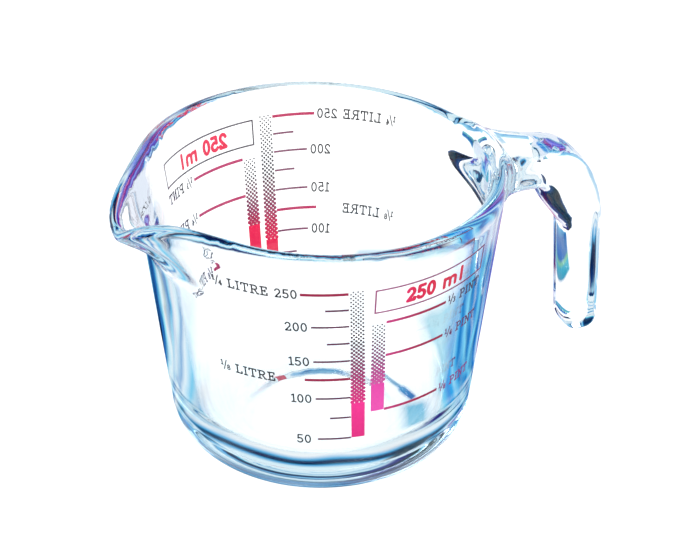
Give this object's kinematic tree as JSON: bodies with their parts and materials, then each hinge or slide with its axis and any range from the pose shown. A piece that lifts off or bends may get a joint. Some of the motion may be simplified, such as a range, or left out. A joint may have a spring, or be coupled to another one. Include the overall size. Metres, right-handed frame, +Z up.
{
  "type": "measuring jug",
  "caption": "Pressed-glass measuring jug with a bent-out pouring lip, an open hook handle, and metric and pint scales printed on two sides.",
  "frame": {"origin": "centre of the foot ring, on the table plane, on the body's axis", "axes": "+Z up along the body's axis, +X from the spout towards the handle, the front print faces about -Y"},
  "size_m": [0.131, 0.092, 0.0782],
  "materials": {
    "glass": "fire-polished",
    "bar_enamel": "satin",
    "halftone_enamel": "satin",
    "tick_enamel": "satin",
    "line_enamel": "satin"
  },
  "bodies": {
    "root": {"vessel": "glass", "handle": "glass", "front_metric_bar": "bar_enamel", "front_metric_halftone": "halftone_enamel", "front_metric_ticks": "tick_enamel", "front_pint_bar": "bar_enamel", "front_pint_halftone": "halftone_enamel", "front_pint_ticks": "tick_enamel", "front_frame": "line_enamel", "rear_metric_bar": "bar_enamel", "rear_metric_halftone": "halftone_enamel", "rear_metric_ticks": "tick_enamel", "rear_pint_bar": "bar_enamel", "rear_pint_halftone": "halftone_enamel", "rear_pint_ticks": "tick_enamel", "rear_frame": "line_enamel"}
  },
  "joints": []
}
